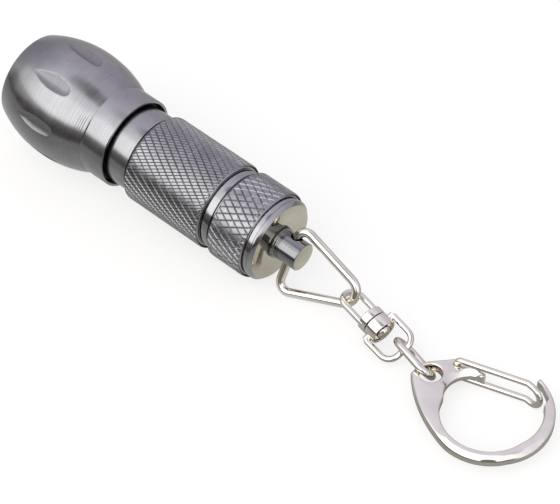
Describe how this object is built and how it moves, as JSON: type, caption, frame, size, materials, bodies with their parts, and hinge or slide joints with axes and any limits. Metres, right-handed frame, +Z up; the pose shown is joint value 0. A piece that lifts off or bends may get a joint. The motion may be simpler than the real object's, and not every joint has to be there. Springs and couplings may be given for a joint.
{
  "type": "keychain flashlight",
  "caption": "Small knurled metal flashlight with a swelling fluted twist head, and a triangular ring, swivel, link and snap clip on its tail for hanging it from keys.",
  "frame": {"origin": "middle of the whole object on the table it lies on", "axes": "+X from the head towards the clip, +Y to the far side, +Z up from the table"},
  "size_m": [0.1082, 0.0222, 0.0203],
  "materials": {
    "anodised_aluminium": "satin anodised",
    "rubber": "matt",
    "lens": "clear",
    "reflector": "metallised",
    "white_plastic": "moulded",
    "led_resin": "clear cast",
    "board": "lacquered",
    "resistor": "matt",
    "brass": "bright",
    "sleeve": "thin film",
    "cell_steel": "nickel plated",
    "spring_steel": "drawn wire",
    "post_steel": "polished",
    "nickel_plate": "bright nickel"
  },
  "bodies": {
    "barrel": {"barrel": "anodised_aluminium", "cell_sleeve": "sleeve", "neck_seal": "rubber"},
    "cells": {"button_cell_1": "cell_steel", "button_cell_2": "cell_steel", "button_cell_3": "cell_steel", "button_cell_4": "cell_steel"},
    "head": {"head_shell": "anodised_aluminium", "lens_gasket": "rubber", "lens": "lens", "reflector": "reflector", "led_holder": "white_plastic", "led": "led_resin", "led_board": "board", "resistor": "resistor", "front_contact": "brass"},
    "spring": {"tail_spring": "spring_steel"},
    "tail_cap": {"tail_cap": "anodised_aluminium", "tail_seal": "rubber", "lanyard_post": "post_steel"},
    "ring": {"tail_ring": "nickel_plate"},
    "eye": {"swivel_eye": "nickel_plate", "swivel_rivet": "nickel_plate"},
    "bow": {"swivel_bow": "nickel_plate"},
    "link": {"oval_link": "nickel_plate"},
    "clip": {"clip_frame": "nickel_plate"},
    "gate": {"clip_gate": "nickel_plate"}
  },
  "joints": [
    {"name": "cell_slide", "type": "slide", "parent": "barrel", "child": "cells", "axis": [0.9985, 0, -0.0551], "range_m": [-0.0015, 0.0006], "deforming": ["tail_spring"]},
    {"name": "head_twist", "type": "hinge", "parent": "cells", "child": "head", "pos_m": [-0.0537, 0.00099, 0.01067], "axis": [0.9985, 0, -0.0551], "range_deg": [-720, 288]},
    {"name": "tail_slide", "type": "slide", "parent": "barrel", "child": "spring", "axis": [0.9985, 0, -0.0551], "range_m": [0, 0.00225], "deforming": ["tail_spring"]},
    {"name": "tail_twist", "type": "hinge", "parent": "spring", "child": "tail_cap", "pos_m": [-0.00354, 0.00099, 0.00791], "axis": [0.9985, 0, -0.0551], "range_deg": [0, 1080]},
    {"name": "ring_swing", "type": "hinge", "parent": "tail_cap", "child": "ring", "pos_m": [0.00327, 0.00099, 0.00753], "axis": [0.0493, 0.4462, 0.8936], "range_deg": [-85, 85]},
    {"name": "eye_swing", "type": "hinge", "parent": "ring", "child": "eye", "pos_m": [0.01534, 0.0015, 0.00414], "axis": [0.3835, 0.4608, 0.8003], "range_deg": [-50, 50]},
    {"name": "swivel_spin", "type": "hinge", "parent": "eye", "child": "bow", "pos_m": [0.01381, 0.00175, 0.00441], "axis": [0.9724, -0.154, -0.1753], "continuous": true},
    {"name": "link_swing", "type": "hinge", "parent": "bow", "child": "link", "pos_m": [0.02677, -0.00031, 0.00208], "axis": [0.2133, 0.8911, 0.4004], "range_deg": [-45, 45]},
    {"name": "clip_swing", "type": "hinge", "parent": "link", "child": "clip", "pos_m": [0.03309, -0.00151, 0.0023], "axis": [0, 0, 1], "range_deg": [-60, 60]},
    {"name": "gate_hinge", "type": "hinge", "parent": "clip", "child": "gate", "pos_m": [0.03517, 0.00251, 0.0023], "axis": [0, 0, 1], "range_deg": [-26, 0], "stiffness_Nm_per_rad": 0.02, "springref_deg": 8.59}
  ],
  "couplings": [
    {"joint": "head_twist", "follows": "cell_slide", "rad_per_m": 8377.6},
    {"joint": "tail_twist", "follows": "tail_slide", "rad_per_m": 8377.6}
  ]
}
